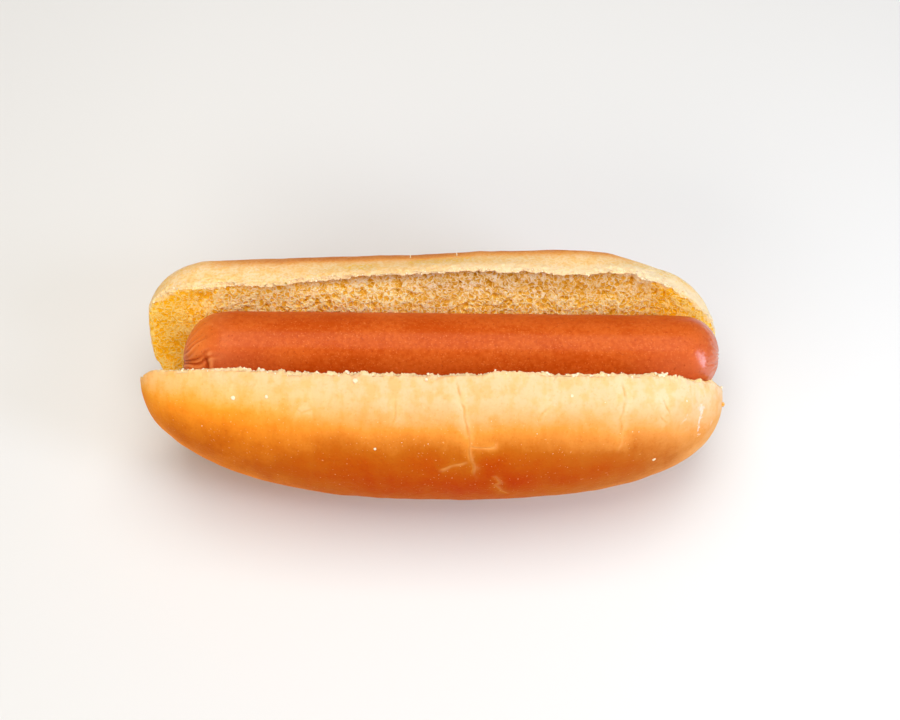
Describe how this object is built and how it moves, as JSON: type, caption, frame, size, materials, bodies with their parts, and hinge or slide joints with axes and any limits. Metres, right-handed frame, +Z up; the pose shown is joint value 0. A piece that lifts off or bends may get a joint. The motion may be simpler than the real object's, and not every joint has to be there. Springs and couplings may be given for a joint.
{
  "type": "hot dog",
  "caption": "Hot dog: a skinless frankfurter lying in a soft white bun that is slit along its side and opened on its hinge.",
  "frame": {"origin": "on the surface that the bun rests on, under the middle of the whole", "axes": "+X along the bun, +Z up, -Y towards the domed half of the bun"},
  "size_m": [0.156, 0.0674, 0.051],
  "materials": {
    "bread": "soft golden crust with a pale side wall, and cream open crumb on the cut faces",
    "meat": "smooth skinless surface with a satin sheen and fine specks"
  },
  "bodies": {
    "root": {"bun": "bread", "frankfurter": "meat"}
  },
  "joints": []
}
